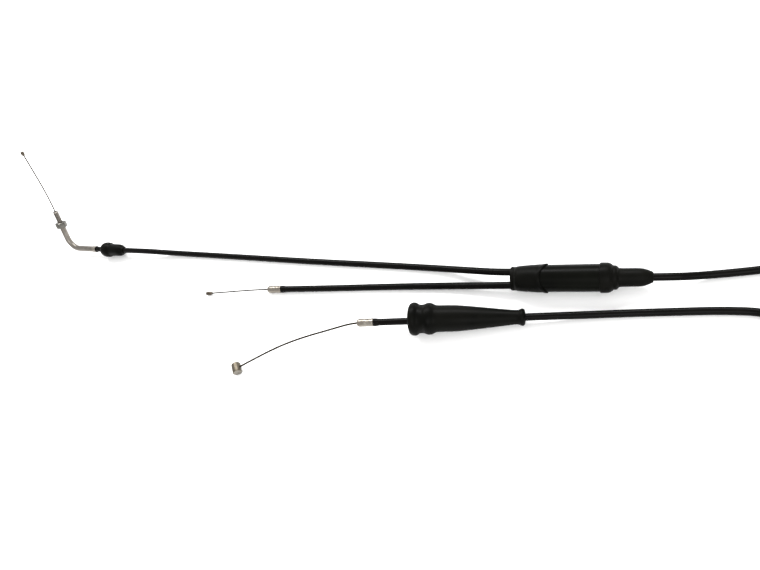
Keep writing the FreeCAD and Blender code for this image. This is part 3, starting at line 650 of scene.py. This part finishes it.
def ferrule(name, place, hole, material, node):
    """Crimped ferrule: a plain cup with a rounded nose, a crimped waist and a rolled back edge."""
    outline = [
        (-0.8, 2.56), (-0.8, 2.85), (-0.55, 3.0), (0.7, 3.0), (1.1, 2.86), (1.6, 2.84), (1.9, 2.95),
        (3.6, 2.95), (3.9, 2.83), (4.3, 2.80), (4.7, 2.84), (5.0, 2.97), (9.4, 3.0), (10.4, 2.88),
        (11.1, 2.58), (11.55, 2.15), (11.75, 1.60), (11.8, hole + 0.15), (11.7, hole), (9.0, hole),
        (9.0, 2.55), (4.0, 2.55),
    ]
    piece = turned(name, outline, 48)
    crimp_dents(piece, 2.75, 6, 2.9, 0.16)
    smooth(piece)
    return settle(piece, place, CASING, material, "zinc_steel", node)


def sheath_swell(name, place, material):
    """The sheath's end, pushed out where the ferrule is crimped on it."""
    outline = [(-5.0, 2.45), (-4.6, 2.56), (-3.6, 2.72), (-2.2, 2.86), (-1.2, 2.90),
               (-0.9, 2.80), (-0.85, 2.45)]
    swell = turned(name, outline, 48)
    smooth(swell)
    return settle(swell, place, CASING, material, "black_sheath")


def crimp_dents(piece, centre, count, radius, depth):
    """Presses a row of shallow dents into a ferrule's back half."""
    edit(piece)
    reach, outside = 1.05 * MM, 2.7 * MM
    for k in range(count):
        angle = 2 * math.pi * k / count
        spot = Vector((centre, math.cos(angle) * radius, math.sin(angle) * radius)) * MM
        select_vertices(piece, lambda co: (co - spot).length < reach and co.yz.length > outside)
        inwards = Vector((0, -math.cos(angle), -math.sin(angle))) * depth * MM
        bpy.ops.transform.translate(value=inwards)
    done()


def barrel_nipple(material, cut_material, centre, wire_way):
    """Cast barrel across the wire: chamfered ends and a countersunk hole where the wire goes in."""
    across = wire_way.cross(Vector((0, 0, 1))).normalized()
    outline = [(-4.0, 1.0), (-4.0, 3.0), (-3.5, 3.5), (3.5, 3.5), (4.0, 3.0), (4.0, 1.0)]
    barrel = turned("grip_barrel", outline, 64, hollow=False)
    place = place_along(centre, across)
    cutter = turned("barrel_cutter", [(0.2, 0.85), (2.6, 0.85), (3.9, 1.7)], 32, hollow=False)
    cutter.matrix_world = place_along((0, 0, 0), place.to_3x3().inverted() @ -wire_way)
    apply(barrel, "BOOLEAN", operation="DIFFERENCE", object=cutter, solver="EXACT")
    bpy.data.objects.remove(cutter)
    round_edges(barrel, 0.18, 3, 40)
    settle(barrel, place, "grip_nipple", material, "cast_nipple", "grip_barrel_nipple")
    barrel.data.materials.append(cut_material)
    for face in barrel.data.polygons:
        face.material_index = int(abs(face.normal.dot(across)) > 0.95)
    return barrel


def small_nipple(name, long, place, body, material, node):
    """Small end nipple: a rounded head with a cone that runs down to the wire."""
    outline = [
        (0.0, 0.62), (0.0, 0.86), (0.35, 0.98), (0.9, 1.28), (1.35, 1.52), (1.8, 1.6),
        (long - 0.6, 1.6), (long - 0.25, 1.5), (long - 0.02, 1.2), (long, 0.55),
    ]
    nipple = turned(name, outline, 32, hollow=False)
    smooth(nipple)
    return settle(nipple, place, body, material, "cast_nipple", node)


# ---------------------------------------------------------------------------
# Carburettor end
# ---------------------------------------------------------------------------


def crimp_sleeve(material):
    """Thin sleeve crimped over the end of the elbow's tube."""
    outline = [(x - ELBOW_LEG, radius) for x, radius in [
        (-2.2, 2.82), (-2.2, 3.02), (-1.95, 3.10), (-1.5, 3.10), (-1.2, 2.98), (-0.7, 2.96),
        (-0.1, 3.06), (0.6, 3.06), (1.1, 2.97), (1.6, 3.0), (1.9, 3.09), (2.15, 3.05), (2.2, 2.9),
        (2.2, 2.82),
    ]]
    sleeve = turned("crimp_sleeve", outline, 48)
    smooth(sleeve)
    return settle(sleeve, leg_place, CASING, material, "zinc_steel", "carb_crimp_sleeve")


def dust_cap(material):
    """Rubber dust cap: short tail, a straight waist and a round head with an open mouth."""
    outline = [(x - CAP_BACK, radius) for x, radius in [
        (0.0, 2.7), (0.0, 3.0), (0.3, 3.2), (1.3, 3.3), (2.2, 3.7), (3.2, 4.5), (4.5, 5.2),
        (6.0, 5.55), (8.5, 5.66), (15.5, 5.72), (16.6, 5.78), (17.4, 6.05), (18.2, 6.45),
        (19.3, 6.85), (21.0, 7.08), (23.0, 7.08), (24.9, 6.75), (26.3, 6.10), (27.2, 5.35),
        (27.8, 4.50), (27.9, 4.05), (27.6, 3.70), (25.4, 3.50), (15.4, 3.50), (15.2, 2.7),
        (7.0, 2.7),
    ]]
    cap = turned("dust_cap", outline, 64)
    smooth(cap)
    return settle(cap, leg_place, "dust_cap", material, "black_rubber", "carb_dust_cap")


def threaded_end(material):
    """Threaded end: its core with a spigot inside the elbow, and an M5 thread wound round it."""
    start, end = THREAD_START, THREAD_END
    pitch, turns = 0.8, 20
    core = turned("thread_core", [
        (start - 6.0, 1.2), (start - 6.0, 1.74), (start, 1.74), (start, 2.05), (end - 0.4, 2.05),
        (end - 0.05, 1.95), (end, 1.75), (end, 1.3), (end - 0.15, 1.2),
    ], 48)
    deselect()
    bpy.ops.mesh.primitive_circle_add(vertices=4, radius=0.3 * MM)
    thread = bpy.context.object
    thread.name = "thread_ridge"
    ridge = [(0.38, 1.98), (0.07, 2.44), (-0.07, 2.44), (-0.38, 1.98)]
    for vertex, (along, radius) in zip(thread.data.vertices, ridge):
        vertex.co = ((start + 0.6 + along) * MM, 0, radius * MM)
    apply(thread, "SCREW", axis="X", angle=2 * math.pi, screw_offset=pitch * MM, steps=32,
          render_steps=32, iterations=turns, use_normal_calculate=True)
    edit(thread)
    bpy.ops.mesh.select_non_manifold()
    bpy.ops.mesh.edge_face_add()
    bpy.ops.mesh.select_all(action="SELECT")
    bpy.ops.mesh.normals_make_consistent(inside=False)
    done()
    deselect()
    thread.select_set(True)
    core.select_set(True)
    bpy.context.view_layer.objects.active = core
    bpy.ops.object.join()
    core.name = "threaded_end"
    return settle(core, rise_place, CASING, material, "zinc_steel", "carb_threaded_end", shade=30)


def lock_nut(material):
    """Six-sided lock nut with turned corners on both faces."""
    low, high, flats = 22.90, 28.40, 9.0
    corner = flats / math.sqrt(3)
    deselect()
    bpy.ops.mesh.primitive_cylinder_add(
        vertices=6, radius=corner * MM, depth=(high - low) * MM,
        location=((low + high) / 2 * MM, 0, 0), rotation=(0, math.pi / 2, 0))
    nut = bpy.context.object
    nut.name = "lock_nut"
    bpy.ops.object.transform_apply(location=True, rotation=True, scale=True)
    corners = turned("nut_turning", [
        (low, flats / 2 - 0.25), (low + 0.6, corner + 0.1), (high - 0.6, corner + 0.1),
        (high, flats / 2 - 0.25)], 96, hollow=False)
    apply(nut, "BOOLEAN", operation="INTERSECT", object=corners, solver="EXACT")
    bpy.data.objects.remove(corners)
    hole = turned("nut_hole", [
        (low - 0.1, 2.95), (low + 0.4, 2.51), (high - 0.4, 2.51), (high + 0.1, 2.95)], 48,
        hollow=False)
    apply(nut, "BOOLEAN", operation="DIFFERENCE", object=hole, solver="EXACT")
    bpy.data.objects.remove(hole)
    round_edges(nut, 0.1, 2, 20)
    return settle(nut, rise_place, "lock_nut", material, "zinc_steel", "carb_lock_nut", shade=30)


# ---------------------------------------------------------------------------
# The whole cable
# ---------------------------------------------------------------------------


def dress(node, material):
    """Gives a carried-over CAD node its material."""
    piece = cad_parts[node]
    piece.data.materials.clear()
    piece.data.materials.append(material)


def build():
    make_camera()
    make_studio()
    pvc, rubber, plastic = black_sheath(), black_rubber(), black_plastic()
    zinc = plated_steel("zinc_steel", (0.25, 0.23, 0.20), (0.085, 0.060, 0.040), 0.24)
    tube_steel = plated_steel("tube_steel", (0.215, 0.197, 0.176), (0.095, 0.080, 0.064), 0.30)
    cast = plated_steel("cast_nipple", (0.115, 0.100, 0.076), (0.045, 0.035, 0.024), 0.36)
    dark_cast = plated_steel("dark_nipple", (0.085, 0.070, 0.054), (0.032, 0.026, 0.019), 0.36)
    # The zinc plating again, made darker for the lock nut: painted shade. Its smudges, stains and
    # skin are wear, as on the zinc.
    nut_steel_painted_shade = plated_steel("nut_steel_painted_shade", (0.14, 0.135, 0.122), (0.045, 0.040, 0.033), 0.24)
    strand_steel = plated_steel("wire_steel", (0.040, 0.033, 0.026), (0.016, 0.012, 0.009), 0.38)

    grip_back = place_along(GRIP_COLLAR + GRIP_DIRECTION * GRIP_FERRULE_BACK, GRIP_DIRECTION)
    grip_ferrule = ferrule("grip_ferrule_shell", grip_back, 0.95, zinc, "grip_ferrule")
    pump_place = place_along(PUMP_FERRULE, PUMP_DIRECTION)
    pump_ferrule = ferrule("pump_ferrule_shell", pump_place, 0.8, zinc, "pump_ferrule")
    grip_swell = sheath_swell("grip_sheath_swell", grip_back, pvc)
    pump_swell = sheath_swell("pump_sheath_swell", pump_place, pvc)

    carb, carb_long = sheath("carb_sheath", CARB_SHEATH_ROUTE, pvc, "carb_branch_sheath",
                             "carb_sheath_end")
    pump, pump_long = sheath("pump_sheath", PUMP_SHEATH_ROUTE, pvc, "pump_branch_sheath")
    main, main_long = sheath("main_sheath", MAIN_RUN_OUT_ROUTE + coil_route() + MAIN_RUN_BACK_ROUTE,
                             pvc, "main_sheath_run_out", "main_sheath_coil", "main_sheath_run_back",
                             "grip_sheath_end")
    sleeve = crimp_sleeve(zinc)

    splitter_branch_cover(rubber)
    splitter_main_cover(rubber)
    grip_boot(rubber)
    dust_cap(rubber)
    threaded_end(tube_steel)
    lock_nut(nut_steel_painted_shade)

    grip_end = Vector(GRIP_WIRE_ROUTE[-1])
    grip_wire_way = (grip_end - Vector(GRIP_WIRE_ROUTE[-2])).normalized()
    barrel = barrel_nipple(cast, zinc, grip_end, grip_wire_way)
    pump_end, carb_end = Vector(PUMP_WIRE_ROUTE[-1]), Vector(CARB_WIRE_ROUTE[-1])
    pump_tip_place = place_along(pump_end, pump_end - Vector(PUMP_WIRE_ROUTE[-2]))
    carb_tip_place = place_along(carb_end, carb_end - Vector(CARB_WIRE_ROUTE[-2]))
    pump_tip = small_nipple("pump_tip", 6.0, pump_tip_place, "pump_end_nipple", dark_cast,
                            "pump_nipple")
    carb_tip = small_nipple("carb_tip", 4.2, carb_tip_place, "carb_end_nipple", dark_cast,
                            "carb_nipple")

    bare_wire("grip_wire", GRIP_WIRE_ROUTE, MAIN_WIRE_R, strand_steel, "grip_inner_wire")
    bare_wire("pump_wire", PUMP_WIRE_ROUTE, WIRE_R, strand_steel, "pump_inner_wire")
    bare_wire("carb_wire", CARB_WIRE_ROUTE, WIRE_R, strand_steel, "carb_inner_wire")

    inside_wire("main_wire_inside", "main_wire_in_splitter", MAIN_WIRE_R, strand_steel, True)
    inside_wire("carb_wire_inside", "carb_wire_in_splitter", WIRE_R, strand_steel, False)
    inside_wire("pump_wire_inside", "pump_wire_in_splitter", WIRE_R, strand_steel, False)

    for node in ("splitter_body", "splitter_branch_plug", "splitter_main_plug", "splitter_slider"):
        dress(node, plastic)
    dress("main_sheath_ferrule", zinc)
    dress("carb_elbow_tube", tube_steel)
    for node in ("main_slider_nipple", "carb_slider_nipple", "pump_slider_nipple"):
        dress(node, cast)


build()
